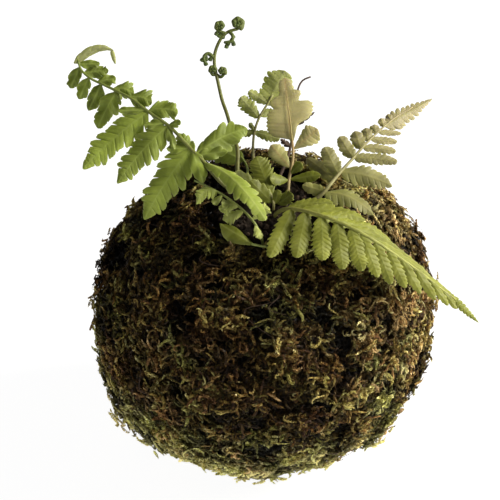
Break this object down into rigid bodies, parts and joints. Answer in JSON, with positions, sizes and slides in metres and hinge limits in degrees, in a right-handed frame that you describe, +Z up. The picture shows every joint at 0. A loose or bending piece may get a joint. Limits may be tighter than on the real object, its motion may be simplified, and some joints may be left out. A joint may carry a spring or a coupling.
{
  "type": "kokedama moss ball plant",
  "caption": "Ball of soil wrapped in living moss, with fern fronds, an unrolling fiddlehead and a lobed seedling growing from its open top.",
  "frame": {"origin": "centre of the flat spot that the moss ball rests on", "axes": "+Z up, +X to the right and +Y away from the viewer, as seen from the front"},
  "size_m": [0.138, 0.1218, 0.1472],
  "materials": {
    "moss": "matte living moss, brown and olive with gold and green shoots",
    "soil": "matte damp crumbly soil",
    "green_leaf": "soft satin leaf green",
    "soft_leaf": "soft satin yellow green leaf",
    "pale_leaf": "satin pale olive leaf with tan and pink tints",
    "bright_leaf": "satin bright limp leaf",
    "dry_stem": "matte dry brown stem"
  },
  "bodies": {
    "root": {"moss_sheath": "moss", "soil_ball": "soil", "left_frond": "green_leaf", "fiddlehead": "green_leaf", "young_frond": "soft_leaf", "seedling": "pale_leaf", "dry_stalk": "dry_stem", "right_frond": "pale_leaf", "front_frond": "soft_leaf", "limp_frond": "bright_leaf", "oval_leaf": "bright_leaf", "back_leaf": "green_leaf", "middle_leaf": "soft_leaf"}
  },
  "joints": []
}
